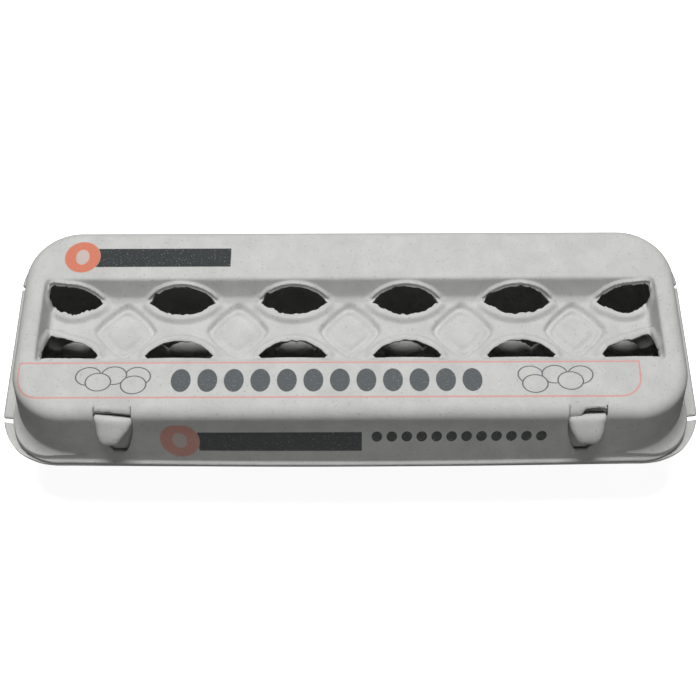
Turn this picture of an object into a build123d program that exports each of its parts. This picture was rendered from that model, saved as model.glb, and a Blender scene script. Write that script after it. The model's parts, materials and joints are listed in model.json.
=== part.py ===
"""Moulded-pulp carton for twelve hen's eggs, closed, in millimetres.

X runs along the carton, +Y points to the hinge and +Z up. The origin is on the table under the middle.
"""

import os
from math import cos, radians, sin, tan

from build123d import *

os.makedirs("parts", exist_ok=True)

# Driving dimensions
pulp = 1.6  # wall thickness of the moulded pulp
columns = 6
pitch = 48.5  # from one egg to the next, along X
row_y = 24.5  # the egg rows' distance from the middle line
rim_z = 38.0  # the plane where lid and tray meet
lid_z = rim_z + 0.3  # the lid's lower edge
top_z = 68.0  # the lid's flat bands

# Lid: half sizes of its outer skin at the rim plane and at the top, before rounding
lid_foot_x, lid_foot_y, lid_foot_corner = 144.5, 52.4, 30.0
lid_top_x, lid_top_y, lid_top_corner = 140.0, 43.7, 22.0
lid_shoulder = 6.0  # rounding between the walls and the top
lip_x, lip_front, lip_back, lip_corner = 145.6, 54.2, 52.5, 24.0

# Trough along the lid's middle, which holds the windows and rests on the posts
trough_top_x, trough_top_y, trough_top_corner = 132.0, 19.6, 6.0
trough_floor_x, trough_floor_y, trough_floor_corner = 127.0, 14.0, 4.0
trough_floor_z = 57.0
trough_skin = 1.8  # the sloping walls' thickness, measured level
window_half = 14.5  # half length of an eye-shaped window
window_corner_y, window_inner_y, window_outer_y = 13.4, 6.0, 17.9
window_end_x = 128.6  # the end windows stop here, short of the trough's ends
pad_z = 54.0  # the diamond pads' upper face
pad_floor_half, pad_half = 12.5, 10.0  # half diagonals at the trough's floor and at the pad

# Tray
cup_floor_half, cup_floor_corner = 14.0, 11.0
cup_reach_inner = 28.0  # where an inner wall would be at the rim plane, but for its neighbour
cup_reach_outer = 25.0
cup_rim_corner = 25.0
cup_skin = 1.75  # a cup's sloping wall, measured level
flange_x, flange_front, flange_back = 150.6, 55.2, 53.0
flange_front_corner, flange_back_corner = 27.0, 20.0
notch_y, notch_width, notch_depth = (-34.5, 32.5), 2.6, 4.4
post_foot_z, post_top_z = 28.0, 52.1
post_foot_half, post_top_half = 13.4, 7.4  # half diagonals

# Hinge crease at the back
hinge_y, hinge_radius, hinge_half = 54.0, 1.2, 116.0

# Locking flap, folded up behind the lid's front wall
flap_y, flap_z = -49.2, 38.7
crease_radius = 1.0
flap_lean = 19.0  # degrees from upright, towards the eggs
flap_half, flap_root, flap_length = 112.0, 1.35, 25.0
flap_corner = 9.0

# Latch buttons on the flap and the slots that they come through
latch_x = 2 * pitch
slot_top_width, slot_foot_width, slot_foot_z = 16.6, 11.0, 50.6
slot_shoulder_y = -39.6
button_top_width, button_foot_width = 15.0, 8.4
button_crown = (-42.7, 66.4)
button_tip = (-53.0, 54.4)
button_chin = (-51.9, 52.8)


def rounded_block(foot, top, foot_z, block_top_z, shoulder=0.0):
    """A tapering block between two rounded rectangles, each given as half x, half y and corner."""
    with BuildPart() as block:
        for level, (half_x, half_y, corner) in ((foot_z, foot), (block_top_z, top)):
            with BuildSketch(Plane.XY.offset(level)):
                RectangleRounded(2 * half_x, 2 * half_y, corner)
        loft(ruled=True)
        if shoulder:
            fillet(block.faces().sort_by(Axis.Z)[-1].edges(), shoulder)
    return block.part


def plate(x_low, x_high, y_low, y_high, z_low, z_high):
    """An upright box between the given limits."""
    with BuildPart() as made:
        with Locations(((x_low + x_high) / 2, (y_low + y_high) / 2, (z_low + z_high) / 2)):
            Box(x_high - x_low, y_high - y_low, z_high - z_low)
    return made.part


def finish(part, name):
    """Names a finished piece and writes its file."""
    part.label = name
    export_step(part, f"parts/{name}.step")


# ---------------------------------------------------------------- lid


def lens(side):
    """Eye shape of one window, on the +Y or -Y side of the middle line."""
    left, right = (-window_half, side * window_corner_y), (window_half, side * window_corner_y)
    with BuildSketch() as eye:
        with BuildLine():
            ThreePointArc(left, (0, side * window_outer_y), right)
            ThreePointArc(right, (0, side * window_inner_y), left)
        make_face()
    return eye.sketch


def latch_outline(x, widths, levels):
    """Outline in X and Z that widens from the first level to the second and is straight to the third."""
    with BuildSketch() as outline:
        with BuildLine():
            Polyline(
                (x - widths[0] / 2, levels[0]),
                (x + widths[0] / 2, levels[0]),
                (x + widths[1] / 2, levels[1]),
                (x + widths[1] / 2, levels[2]),
                (x - widths[1] / 2, levels[2]),
                (x - widths[1] / 2, levels[1]),
                close=True,
            )
        make_face()
    return outline.sketch


def column_x(column):
    """X of a column of eggs, counted from the left."""
    return (column - (columns - 1) / 2) * pitch


def post_x(post):
    """X of a post, between two columns."""
    return (post - (columns - 2) / 2) * pitch


wall_run = (lid_foot_y - lid_top_y) / (top_z - lid_z)  # how far the front wall leans per millimetre
side_run = (lid_foot_x - lid_top_x) / (top_z - lid_z)
lid_outer = rounded_block(
    (lid_foot_x, lid_foot_y, lid_foot_corner),
    (lid_top_x, lid_top_y, lid_top_corner),
    lid_z,
    top_z,
    lid_shoulder,
)
lid_core = rounded_block(
    (lid_foot_x - pulp, lid_foot_y - pulp, lid_foot_corner - pulp),
    (
        lid_top_x - pulp + side_run * pulp,
        lid_top_y - pulp + wall_run * pulp,
        lid_top_corner - pulp,
    ),
    lid_z,
    top_z - pulp,
    lid_shoulder - pulp,
)
trough_outer = rounded_block(
    (
        trough_floor_x + trough_skin,
        trough_floor_y + trough_skin,
        trough_floor_corner + trough_skin,
    ),
    (trough_top_x + trough_skin, trough_top_y + trough_skin, trough_top_corner + trough_skin),
    trough_floor_z - pulp,
    top_z,
)
trough_inner = rounded_block(
    (trough_floor_x, trough_floor_y, trough_floor_corner),
    (trough_top_x, trough_top_y, trough_top_corner),
    trough_floor_z,
    top_z,
)

with BuildPart() as lid_shell:
    add(lid_outer)
    lip_middle = (lip_back - lip_front) / 2
    with BuildSketch(Plane.XY.offset(lid_z)):
        with Locations((0, lip_middle)):
            RectangleRounded(2 * lip_x, lip_front + lip_back, lip_corner)
    extrude(amount=pulp)
    add(lid_core, mode=Mode.SUBTRACT)
    add(trough_outer, mode=Mode.SUBTRACT)
    # Two slots through the front wall and its shoulder, for the latch buttons
    with BuildSketch(Plane.XZ.offset(-slot_shoulder_y)):
        for end in (-1, 1):
            add(
                latch_outline(
                    end * latch_x,
                    (slot_foot_width, slot_top_width),
                    (slot_foot_z, slot_foot_z + 9, top_z + 1),
                )
            )
    extrude(amount=20, mode=Mode.SUBTRACT)
finish(lid_shell.part, "lid_shell")

with BuildPart() as window_trough:
    add(trough_outer)
    # Bosses under the pads
    for post in range(columns - 1):
        for level, half in (
            (trough_floor_z - pulp, pad_floor_half + pulp),
            (pad_z - pulp, pad_half + pulp),
        ):
            with BuildSketch(Plane.XY.offset(level)):
                with Locations((post_x(post), 0)):
                    Rectangle(2 * half / 2**0.5, 2 * half / 2**0.5, rotation=45)
        loft(ruled=True)
    add(trough_inner, mode=Mode.SUBTRACT)
    # Diamond pads sunk in the floor
    for post in range(columns - 1):
        for level, half in ((trough_floor_z, pad_floor_half), (pad_z, pad_half)):
            with BuildSketch(Plane.XY.offset(level)):
                with Locations((post_x(post), 0)):
                    Rectangle(2 * half / 2**0.5, 2 * half / 2**0.5, rotation=45)
        loft(ruled=True, mode=Mode.SUBTRACT)
    # Twelve windows
    with BuildSketch(Plane.XY.offset(pad_z - 2 * pulp)):
        for side in (-1, 1):
            eye = lens(side)
            for column in range(columns):
                with Locations((column_x(column), 0)):
                    add(eye)
        Rectangle(2 * window_end_x, 2 * trough_top_y, mode=Mode.INTERSECT)
    extrude(amount=top_z, mode=Mode.SUBTRACT)
finish(window_trough.part, "window_trough")

# ---------------------------------------------------------------- tray


def cup_volume(column, side, level_low, level_high, skin):
    """Space inside a cup's skin, or with no skin taken off the cup's outer form, between two levels."""
    with BuildPart() as volume:
        for level in (level_low, level_high):
            share = level / rim_z
            inner = cup_floor_half + (cup_reach_inner - cup_floor_half) * share - skin
            outer = cup_floor_half + (cup_reach_outer - cup_floor_half) * share - skin
            left = outer if column == 0 else inner
            right = outer if column == columns - 1 else inner
            corner = cup_floor_corner + (cup_rim_corner - cup_floor_corner) * share - skin
            centre = (
                column_x(column) + (right - left) / 2,
                side * (row_y + (outer - inner) / 2),
            )
            with BuildSketch(Plane.XY.offset(level)):
                with Locations(centre):
                    RectangleRounded(left + right, inner + outer, corner)
        loft(ruled=True)
    return volume.part


def cell_box(column, side):
    """Limits that a cup keeps to: its cell's inner sides, and past its outer ones."""
    spare = 4.0
    left = column_x(column) - pitch / 2 - (spare if column == 0 else 0)
    right = column_x(column) + pitch / 2 + (spare if column == columns - 1 else 0)
    far = side * (row_y + cup_reach_outer + spare)
    return plate(left, right, min(0, far), max(0, far), 0, rim_z)


cups = {}
for side, row in ((1, "back"), (-1, "front")):
    for column in range(columns):
        with BuildPart() as egg_cup:
            add(cup_volume(column, side, 0, rim_z, 0))
            add(cell_box(column, side), mode=Mode.INTERSECT)
            cup_outer = egg_cup.part
            add(cup_volume(column, side, pulp, rim_z, cup_skin), mode=Mode.SUBTRACT)
        cups[column, side] = egg_cup.part, cup_outer
        finish(egg_cup.part, f"egg_cup_{row}_{column + 1}")

with BuildPart() as tray_rim:
    flange_middle = (flange_back - flange_front) / 2
    with BuildSketch(Plane.XY.offset(rim_z - pulp)) as flange:
        with Locations((0, flange_middle)):
            Rectangle(2 * flange_x, flange_front + flange_back)
        fillet(flange.vertices().group_by(Axis.Y)[0], flange_front_corner)
        fillet(flange.vertices().group_by(Axis.Y)[-1], flange_back_corner)
        with Locations(*[(x, y) for x in (-flange_x, flange_x) for y in notch_y]):
            Rectangle(2 * notch_depth, notch_width, mode=Mode.SUBTRACT)
    extrude(amount=pulp)
    for _, cup_outer in cups.values():
        add(cup_outer, mode=Mode.SUBTRACT)
    add(plate(-flange_x + 20, flange_x - 20, -12, 12, 0, rim_z), mode=Mode.SUBTRACT)
finish(tray_rim.part, "tray_rim")

for post in range(columns - 1):
    with BuildPart() as divider_post:
        for inset, low, high in ((0, post_foot_z, post_top_z), (pulp * 1.5, 0, post_top_z - pulp)):
            lean = (post_foot_half - post_top_half) / (post_top_z - post_foot_z)
            for level in (low, high):
                half = post_top_half + lean * (post_top_z - level) - inset
                with BuildSketch(Plane.XY.offset(level)):
                    with Locations((post_x(post), 0)):
                        RectangleRounded(2 * half / 2**0.5, 2 * half / 2**0.5, 2.5, rotation=45)
            loft(ruled=True, mode=Mode.SUBTRACT if inset else Mode.ADD)
        for side in (-1, 1):
            for column in (post, post + 1):
                add(cups[column, side][0], mode=Mode.SUBTRACT)
    finish(divider_post.part, f"divider_post_{post + 1}")

with BuildPart() as hinge_crease:
    with BuildSketch(Plane.YZ.offset(-hinge_half)):
        with Locations((hinge_y, rim_z)):
            Circle(hinge_radius)
        with Locations((flange_back - hinge_radius, rim_z)):
            Rectangle(2 * hinge_radius, 4 * hinge_radius, mode=Mode.SUBTRACT)
    extrude(amount=2 * hinge_half)
finish(hinge_crease.part, "hinge_crease")

# ---------------------------------------------------------------- locking flap

with BuildPart() as flap_crease:
    with BuildSketch(Plane.YZ.offset(-flap_half)):
        with Locations((flap_y, flap_z)):
            Circle(crease_radius)
        with Locations((flap_y, rim_z - crease_radius)):
            Rectangle(4 * crease_radius, 2 * crease_radius, mode=Mode.SUBTRACT)
    extrude(amount=2 * flap_half)
finish(flap_crease.part, "flap_crease")

# The flap's own plane: its x runs along the carton, its y up the flap, from the crease
lean = radians(flap_lean)
flap_plane = Plane(
    origin=(0, flap_y, flap_z), x_dir=(1, 0, 0), z_dir=(0, -cos(lean), sin(lean))
)


def flap_face_y(level):
    """Y of the flap's outer face at a level."""
    return flap_y - pulp / 2 / cos(lean) + (level - flap_z) * tan(lean)


with BuildPart() as locking_flap:
    with BuildSketch(flap_plane.offset(-pulp / 2)) as flap_outline:
        with Locations((0, (flap_root + flap_length) / 2)):
            Rectangle(2 * flap_half, flap_length - flap_root)
        fillet(flap_outline.vertices().group_by(Axis.Z)[-1], flap_corner)
    extrude(amount=pulp)
    # Holes behind the hollow buttons
    with BuildSketch(flap_plane.offset(-pulp)):
        with Locations((-latch_x, 19.2), (latch_x, 19.2)):
            RectangleRounded(6.4, 7.6, 2)
    extrude(amount=2 * pulp, mode=Mode.SUBTRACT)
finish(locking_flap.part, "locking_flap")

for end, name in ((-1, "latch_button_left"), (1, "latch_button_right")):
    with BuildPart() as latch_button:
        crown_y, crown_z = button_crown
        tip_y, tip_z = button_tip
        chin_y, chin_z = button_chin
        root_low, root_high = 52.8, 61.6
        with BuildSketch(Plane.YZ.offset(end * latch_x - button_top_width / 2)):
            with BuildLine():
                Polyline(
                    (flap_face_y(root_low), root_low),
                    (chin_y, chin_z),
                    (tip_y, tip_z),
                    (crown_y, crown_z),
                    (flap_face_y(root_high) + 0.6, root_high + 2.4),
                    (flap_face_y(root_high), root_high),
                    close=True,
                )
            make_face()
        extrude(amount=button_top_width)
        # Taper towards the tip
        with BuildSketch(Plane.XZ.offset(-crown_y - 10)):
            add(
                latch_outline(
                    end * latch_x,
                    (button_foot_width, button_top_width),
                    (chin_z - 1, crown_z - 4, crown_z + 1),
                )
            )
        extrude(amount=30, mode=Mode.INTERSECT)
        # Hollow from behind
        with BuildSketch(Plane.YZ.offset(end * latch_x - 2.8)):
            with BuildLine():
                Polyline(
                    (flap_face_y(54.4), 54.4),
                    (tip_y + 2.6, tip_z + 0.2),
                    (flap_face_y(60.6) - 1.2, 61.8),
                    (flap_face_y(60.4), 60.4),
                    close=True,
                )
            make_face()
        extrude(amount=5.6, mode=Mode.SUBTRACT)
    finish(latch_button.part, name)
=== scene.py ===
import json
import math
import bmesh
import bpy
import numpy as np
from mathutils import Matrix, Vector


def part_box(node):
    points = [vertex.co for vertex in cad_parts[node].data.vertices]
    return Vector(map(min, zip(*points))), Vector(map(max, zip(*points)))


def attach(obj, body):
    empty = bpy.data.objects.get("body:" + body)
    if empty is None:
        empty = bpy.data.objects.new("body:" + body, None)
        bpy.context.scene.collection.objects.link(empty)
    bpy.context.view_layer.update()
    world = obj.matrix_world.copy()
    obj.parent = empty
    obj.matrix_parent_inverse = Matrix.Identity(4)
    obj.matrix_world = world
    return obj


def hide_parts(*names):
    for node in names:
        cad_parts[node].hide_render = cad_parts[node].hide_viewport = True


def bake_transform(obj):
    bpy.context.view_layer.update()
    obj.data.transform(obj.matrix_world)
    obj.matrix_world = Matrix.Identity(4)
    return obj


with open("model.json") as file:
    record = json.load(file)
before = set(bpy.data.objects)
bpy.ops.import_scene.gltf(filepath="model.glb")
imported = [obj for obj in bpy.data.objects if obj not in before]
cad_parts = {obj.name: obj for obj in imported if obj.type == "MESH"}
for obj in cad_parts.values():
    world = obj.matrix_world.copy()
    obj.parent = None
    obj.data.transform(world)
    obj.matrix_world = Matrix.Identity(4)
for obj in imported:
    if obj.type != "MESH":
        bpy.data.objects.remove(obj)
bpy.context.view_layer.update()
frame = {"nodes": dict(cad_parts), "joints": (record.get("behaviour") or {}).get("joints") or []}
mm = 0.001  # everything below is in millimetres until it becomes a mesh


def boxOf(node):  # lowest and highest corner of a CAD node, in millimetres
    low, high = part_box(node)
    return np.array(low) / mm, np.array(high) / mm


def jointOf(name):  # where a joint's axis runs, in millimetres
    return np.array(next(j for j in frame["joints"] if j["name"] == name)["pos_m"]) / mm


rimLow, rimHigh = boxOf("tray_rim")
shellLow, shellHigh = boxOf("lid_shell")
hingeAt, flapAt = jointOf("lid_hinge"), jointOf("flap_fold")
pulp = rimHigh[2] - rimLow[2]  # wall thickness of the moulding
topZ, rimZ, lidFootZ = shellHigh[2], rimHigh[2], shellLow[2]
postXs = [sum(b[0] for b in boxOf(f"divider_post_{n}")) / 2 for n in range(1, 6)]
pitch = postXs[1] - postXs[0]
cellXs = [postXs[0] - pitch / 2 + pitch * n for n in range(6)]
print("frame read: lid top at", round(topZ, 1), "mm, cells", round(pitch, 2), "mm apart")


# shapes and meshes

def smoothStep(low, high, value):  # 0 below low, 1 above high, an S curve between
    t = np.clip((value - low) / (high - low), 0, 1)
    return t * t * (3 - 2 * t)


def smoothMin(a, b, width):  # the lower of two heights, with a round join of that width
    t = np.clip(0.5 + 0.5 * (b - a) / width, 0, 1)
    return b + (a - b) * t - width * t * (1 - t)


def smoothMax(a, b, width):  # the higher of two heights, joined the same way
    return -smoothMin(-a, -b, width)


def bump(value, centre, width):  # bell curve of height 1
    return np.exp(-((value - centre) / width) ** 2)


def ragged(length, step, size, seed):  # a torn edge: random heights every step, joined by straight lines
    rough = np.random.default_rng(seed).normal(0, size, int(length / step) + 3)
    return lambda x: np.interp(x, np.arange(len(rough)) * step - length / 2, rough)


def roundedLine(xs, ys, radius):  # a polyline as a function, its corners softened by a bell average
    step = 0.05
    t = np.arange(xs[0], xs[-1], step)
    reach = int(3 * radius / step)
    kernel = bump(np.arange(-reach, reach + 1) * step, 0, radius)
    soft = np.convolve(np.interp(t, xs, ys), kernel / kernel.sum(), "same")
    return lambda v: np.interp(v, t, soft)


def wobble(points, size):  # slow unevenness added to the height: three crossed waves, size mm in all
    x, y, z = points[..., 0], points[..., 1], points[..., 2]
    wave = np.sin(x / 17 + 1.3 * np.sin(y / 23)) + np.sin(y / 9 + x / 31 + 2) + np.sin((x - y + z) / 13)
    out = points.copy()
    out[..., 2] += size * wave / 3
    return out


def gridFaces(rows, columns, start, flip, loop):  # quads between neighbouring rows of vertices
    i, j = np.meshgrid(np.arange(rows - 1), np.arange(columns if loop else columns - 1), indexing="ij")
    k = (j + 1) % columns
    quads = np.stack([i * columns + j, i * columns + k, (i + 1) * columns + k, (i + 1) * columns + j], -1)
    return (quads[..., ::-1] if flip else quads) + start


seamGap = 0.01  # points nearer than this are one point


def meshOf(name, grids):
    # grids are (points, flip, loop, mask of quads to keep); they become one mesh whose seams are merged
    vertices, quads, count = [], [], 0
    for points, flip, loop, mask in grids:
        rows, columns = points.shape[:2]
        faces = gridFaces(rows, columns, count, flip, loop)
        quads.append(faces[mask] if mask is not None else faces.reshape(-1, 4))
        vertices.append(points.reshape(-1, 3))
        count += rows * columns
    vertices, quads = np.concatenate(vertices) * mm, np.concatenate(quads)
    mesh = bpy.data.meshes.new(name)
    mesh.vertices.add(len(vertices))
    mesh.vertices.foreach_set("co", vertices.astype(np.float32).ravel())
    mesh.loops.add(quads.size)
    mesh.loops.foreach_set("vertex_index", quads.astype(np.int32).ravel())
    mesh.polygons.add(len(quads))
    mesh.polygons.foreach_set("loop_start", np.arange(0, quads.size, 4, dtype=np.int32))
    mesh.update(calc_edges=True)
    bm = bmesh.new()
    bm.from_mesh(mesh)
    bmesh.ops.remove_doubles(bm, verts=bm.verts, dist=seamGap * mm)
    bmesh.ops.dissolve_degenerate(bm, edges=bm.edges, dist=seamGap * mm / 100)
    bmesh.ops.delete(bm, geom=[v for v in bm.verts if not v.link_faces], context="VERTS")
    bm.to_mesh(mesh)
    bm.free()
    mesh.polygons.foreach_set("use_smooth", np.ones(len(mesh.polygons), bool))
    return mesh


def makePiece(name, grids, finish, wall, body, nodes, inside=None):
    # a moulding: its outer face, thickened inwards, with another finish on its inside where one is given
    mesh = meshOf(name, grids)
    mesh.materials.append(finish)
    piece = bpy.data.objects.new(name, mesh)
    bpy.context.scene.collection.objects.link(piece)
    thick = piece.modifiers.new("wall", "SOLIDIFY")
    thick.thickness = wall * mm
    thick.offset = -1
    thick.use_even_offset = False
    if inside:
        mesh.materials.append(inside)
        thick.material_offset = 1
    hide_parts(*nodes)
    if body:
        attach(piece, body)
    print(name, "made,", len(mesh.polygons), "faces")
    return piece


# finishes

class Wire:  # a node's output; sums written on it add Math nodes
    def __init__(self, tree, socket):
        self.tree = tree
        self.socket = socket

    def math(self, operation, *values):
        node = self.tree.nodes.new("ShaderNodeMath")
        node.operation = operation
        for slot, value in zip(node.inputs, values):
            if isinstance(value, Wire):
                self.tree.links.new(value.socket, slot)
            else:
                slot.default_value = value
        return Wire(self.tree, node.outputs[0])

    def __add__(self, other):
        return self.math("ADD", self, other)

    def __radd__(self, other):
        return self.math("ADD", other, self)

    def __sub__(self, other):
        return self.math("SUBTRACT", self, other)

    def __rsub__(self, other):
        return self.math("SUBTRACT", other, self)

    def __mul__(self, other):
        return self.math("MULTIPLY", self, other)

    def __rmul__(self, other):
        return self.math("MULTIPLY", other, self)

    def __truediv__(self, other):
        return self.math("DIVIDE", self, other)

    def __pow__(self, other):
        return self.math("POWER", self, other)

    def __abs__(self):
        return self.math("ABSOLUTE", self)

    def lower(self, other):
        return self.math("MINIMUM", self, other)

    def higher(self, other):
        return self.math("MAXIMUM", self, other)

    def over(self, edge, soft):
        return ((self - edge) / soft + 0.5).clamp()

    def under(self, edge, soft):
        return ((edge - self) / soft + 0.5).clamp()

    def clamp(self):
        return self.lower(1.0).higher(0.0)


class Finish:  # a material under construction
    def __init__(self, name):
        self.material = bpy.data.materials.new(name)
        self.material.use_nodes = True
        self.tree = self.material.node_tree
        self.tree.nodes.clear()
        self.shader = self.tree.nodes.new("ShaderNodeBsdfPrincipled")
        output = self.tree.nodes.new("ShaderNodeOutputMaterial")
        self.tree.links.new(self.shader.outputs[0], output.inputs[0])
        self.place = self.add("ShaderNodeTexCoord", {}, {}, "Object")
        split = self.add("ShaderNodeSeparateXYZ", {}, {0: self.place}, None)
        self.x, self.y, self.z = [Wire(self.tree, split.outputs[n]) * (1 / mm) for n in range(3)]

    def add(self, kind, settings, sockets, output=0):
        node = self.tree.nodes.new(kind)
        for key, value in settings.items():
            setattr(node, key, value)
        for key, value in sockets.items():
            if isinstance(value, Wire):
                self.tree.links.new(value.socket, node.inputs[key])
            else:
                node.inputs[key].default_value = value
        return node if output is None else Wire(self.tree, node.outputs[output])

    def noise(self, size, detail=3.0, roughness=0.55, stretch=None):  # about 0 to 1; its size is in mm
        place = self.place
        if stretch:
            place = self.add("ShaderNodeMapping", {}, {"Vector": place, "Scale": stretch})
        sockets = {"Vector": place, "Scale": 1 / (size * mm), "Detail": detail, "Roughness": roughness}
        return self.add("ShaderNodeTexNoise", {}, sockets, "Fac")

    def mix(self, amount, first, second):
        def shade(value):
            return value if isinstance(value, Wire) else (*value, 1)
        sockets = {0: amount, 6: shade(first), 7: shade(second)}
        return self.add("ShaderNodeMix", {"data_type": "RGBA"}, sockets, 2)

    def relief(self, height):  # a height in millimetres becomes a bump
        return self.add("ShaderNodeBump", {}, {"Height": height, "Distance": mm, "Strength": 1.0})

    def set(self, **values):
        for key, value in values.items():
            slot = self.shader.inputs[key.replace("_", " ")]
            if isinstance(value, Wire):
                self.tree.links.new(value.socket, slot)
            else:
                slot.default_value = value


pulpLook = {
    "light": (0.56, 0.56, 0.545),
    "dark": (0.47, 0.475, 0.46),
    "fleckDark": (0.30, 0.29, 0.27),
    "fleckLight": (0.66, 0.66, 0.65),
    "roughness": 0.92,
    "specular": 0.25,
    # sizes of the features, in millimetres
    "cloudSize": 9.0, "fibreSize": 0.55, "crossingSize": 0.5, "fleckSize": 1.1, "clumpSize": 2.6,
    "fibreStretch": 0.35,  # below 1 draws the fibres out
    "cloudContrast": 2.2, "fibreShare": 0.22, "fleckShare": 0.5, "fleckLevel": 0.70,
    # depths of the relief, in millimetres
    "fibreDepth": 0.10,
    "clumpDepth": 0.16,
}

printLook = {
    "disc": (0.62, 0.17, 0.095),
    "bar": (0.040, 0.046, 0.047),
    "line": (0.66, 0.30, 0.27),
    "grey": (0.105, 0.115, 0.12),
}


def pulpBase(finish, rough):
    # cloudy grey, long fibres a little lighter and darker, and sparse flecks
    look = pulpLook
    clouds = finish.noise(look["cloudSize"], 4.0)
    fibres = finish.noise(look["fibreSize"], 3.0, 0.6, (1, look["fibreStretch"], 1))
    crossing = finish.noise(look["crossingSize"], 3.0, 0.6, (look["fibreStretch"], 1, 1))
    flecks = finish.noise(look["fleckSize"], 1.0)
    shade = finish.mix((clouds - 0.5) * look["cloudContrast"] + 0.5, look["dark"], look["light"])
    lines = (fibres * crossing * 4).over(0.95, 0.9) * look["fibreShare"]
    shade = finish.mix(lines, shade, look["fleckLight"])
    shade = finish.mix(flecks.over(look["fleckLevel"], 0.06) * look["fleckShare"], shade, look["fleckDark"])
    clumps = finish.noise(look["clumpSize"], 4.0, 0.6)
    height = (fibres + crossing) * 0.5 * (look["fibreDepth"] * rough) + clumps * (look["clumpDepth"] * rough)
    return shade, height


def finishPulp(name, rough, prints=None, darker=0.0):
    finish = Finish(name)
    shade, height = pulpBase(finish, rough)
    # darker mixes the colour by that share towards black: painted shade for the inside of a moulding, where
    # little light reaches
    if darker:
        shade = finish.mix(darker, shade, (0.0, 0.0, 0.0))
    if prints:
        shade = prints(finish, shade)
    finish.set(Base_Color=shade, Roughness=pulpLook["roughness"], Normal=finish.relief(height))
    finish.set(Specular_IOR_Level=pulpLook["specular"])
    return finish.material


def worn(finish, mask, amount):  # ink that misses the hollows of the pulp
    gaps = finish.noise(0.7, 3.0, 0.7).under(0.36, 0.10)
    return mask * (1 - gaps * amount)


def ovalSize(u, v, x, y, halfX, halfY, tilt=0.0):
    # distance from an oval's middle over its half size that way: 1 on the outline, less inside it
    turnedU = (u - x) * math.cos(tilt) + (v - y) * math.sin(tilt)
    turnedV = (v - y) * math.cos(tilt) - (u - x) * math.sin(tilt)
    return ((turnedU / halfX) ** 2.0 + (turnedV / halfY) ** 2.0) ** 0.5


def boxMask(u, v, low, high, soft=0.25):  # 1 inside a rectangle, 0 outside
    across = u.over(low[0], soft).lower(u.under(high[0], soft))
    return across.lower(v.over(low[1], soft).lower(v.under(high[1], soft)))


topPrint = {
    "below": 7.0,  # the top's print ends, and the wall's begins, this far below the top
    "disc": (-116.1, 30.6, 7.7),  # middle and radius
    "discEgg": (2.9, 3.8),
    "bar": ((-110.5, 25.6), (-51.6, 34.8)),  # two corners
    "frameLow": (-136.9, -36.3),
    "frameHigh": (119.6, -20.6),
    "frameCorner": 9.0,
    "frameLine": 0.7,
    "eggRow": (-69.6, -28.7, 10.9, 12),  # first middle, spacing and number
    "eggHalf": (4.1, 5.2),
    "clusters": (-97.6, 84.6),
    "clusterY": -28.4,
    # each egg of a cluster: its middle from the cluster's, and its tilt
    "clusterEggs": ((-10.2, 1.7, 0.1), (10.2, 1.7, -0.1), (0.3, 2.0, 0.05), (-6.0, -0.9, 0.0),
                    (8.6, -2.2, 0.05)),
    "clusterHalf": (5.2, 4.0),
    "clusterLine": 0.42,
}

wallPrint = {
    "front": -42.0,  # only faces in front of this carry it
    "disc": (-70.9, 52.0, 8.2, 9.6),  # middle and half sizes
    "discEgg": (3.1, 4.4),
    "bar": ((-63.3, 46.0), (4.8, 56.6)),
    "eggRow": (11.0, 54.0, 6.2, 12),
    "eggHalf": (2.2, 2.9),
}


def clusterMask(u, v, centre):
    # outlines of five eggs; each one hides what is drawn behind it; the right cluster mirrors the left
    mask = 0.0
    for dx, dy, tilt in topPrint["clusterEggs"]:
        x = centre - math.copysign(1, centre) * dx
        size = ovalSize(u, v, x, topPrint["clusterY"] + dy, *topPrint["clusterHalf"], tilt)
        edge = abs(size - 1.0) * topPrint["clusterHalf"][1]
        line = edge.under(topPrint["clusterLine"] / 2, 0.25)
        outside = size.over(1.0, 0.02)
        mask = (outside * mask).higher(line)
    return mask


def eggRowMask(u, v, row, half):
    # a row of filled eggs, all one oval repeated along it
    x, y, step, count = row
    along = (u - (x - step / 2)) / step
    local = (along - along.math("FLOOR", along) - 0.5) * step
    size = ovalSize(local, v, 0.0, y, *half)
    inRow = u.over(x - step / 2, 0.1).lower(u.under(x + step * (count - 0.5), 0.1))
    return size.under(1.0, 0.06) * inRow


def frameMask(u, v):
    # a thin line at a set distance from a rectangle whose two lower corners are round
    low, high, corner = topPrint["frameLow"], topPrint["frameHigh"], topPrint["frameCorner"]
    halfU, halfV = (high[0] - low[0]) / 2, (high[1] - low[1]) / 2
    awayU = abs(u - (low[0] + high[0]) / 2) - (halfU - corner)
    awayV = (high[1] - halfV - v) - (halfV - corner)
    square = (awayU - corner).higher(abs(v - (low[1] + halfV)) - halfV)
    rounded = (awayU.higher(0.0) ** 2.0 + awayV.higher(0.0) ** 2.0) ** 0.5 - corner
    atCorner = awayU.over(0.0, 0.01) * awayV.over(0.0, 0.01)
    distance = square * (1 - atCorner) + rounded * atCorner
    return abs(distance).under(topPrint["frameLine"] / 2, 0.35)


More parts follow.
